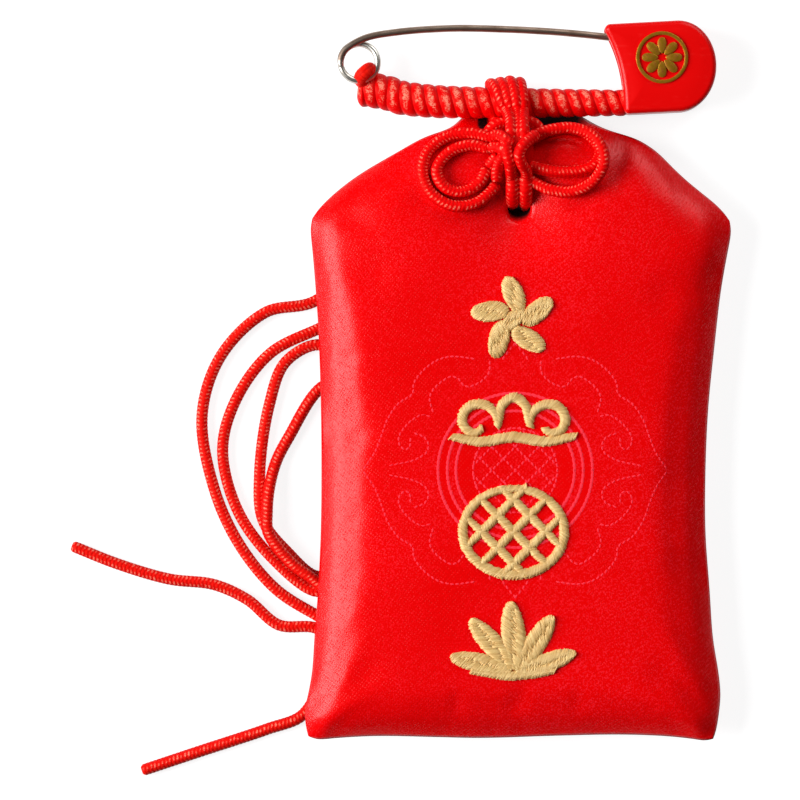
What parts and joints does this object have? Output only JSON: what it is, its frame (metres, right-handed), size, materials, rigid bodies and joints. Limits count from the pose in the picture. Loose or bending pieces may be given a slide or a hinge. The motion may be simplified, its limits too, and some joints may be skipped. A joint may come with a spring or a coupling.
{
  "type": "amulet pouch",
  "caption": "Padded satin amulet pouch with gold embroidery, tied by a cord bow that hangs it from a capped safety pin with a sprung arm.",
  "frame": {"origin": "middle of the box round the object without its free cord ends, on the surface that the pouch's back lies on", "axes": "+Y from the pouch's foot to the pin, +Z out of the pouch's front, +X to the pin's cap"},
  "size_m": [0.0969, 0.1097, 0.0121],
  "materials": {
    "satin": "satin damask with a soft sheen",
    "wadding": "loose fibre",
    "card": "matt",
    "paper": "matt",
    "gold_thread": "satin-stitched metallic thread",
    "cord": "braided",
    "steel": "drawn wire",
    "cap": "moulded, glossy",
    "foil": "hot-stamped foil"
  },
  "bodies": {
    "pouch": {"front_panel": "satin", "back_panel": "satin", "back_wadding": "wadding", "front_wadding": "wadding", "stiffener_card": "card", "amulet_slip": "paper", "motif_blossom": "gold_thread", "motif_cloud": "gold_thread", "motif_lattice": "gold_thread", "motif_lotus": "gold_thread", "bow_left_outer": "cord", "bow_left_inner": "cord", "bow_right_outer": "cord", "bow_right_inner": "cord", "bow_knot": "cord", "hanger_left": "cord", "hanger_right": "cord", "hole_strand_left": "cord", "hole_strand_right": "cord", "cord_tail_long": "cord", "cord_tail_short": "cord"},
    "pin": {"pin_wire": "steel", "pin_sleeve": "cord", "pin_cap": "cap", "pin_clasp": "steel", "cap_emblem": "foil"},
    "pin_arm": {"pin_arm": "steel"}
  },
  "joints": [
    {"name": "pin_swivel", "type": "hinge", "parent": "pouch", "child": "pin", "pos_m": [0, 0.0405, 0.004], "axis": [1, 0, 0], "range_deg": [0, 95]},
    {"name": "pin_arm_open", "type": "hinge", "parent": "pin", "child": "pin_arm", "pos_m": [-0.02324, 0.0464, 0.004], "axis": [0, 0, 1], "range_deg": [0, 35]}
  ]
}
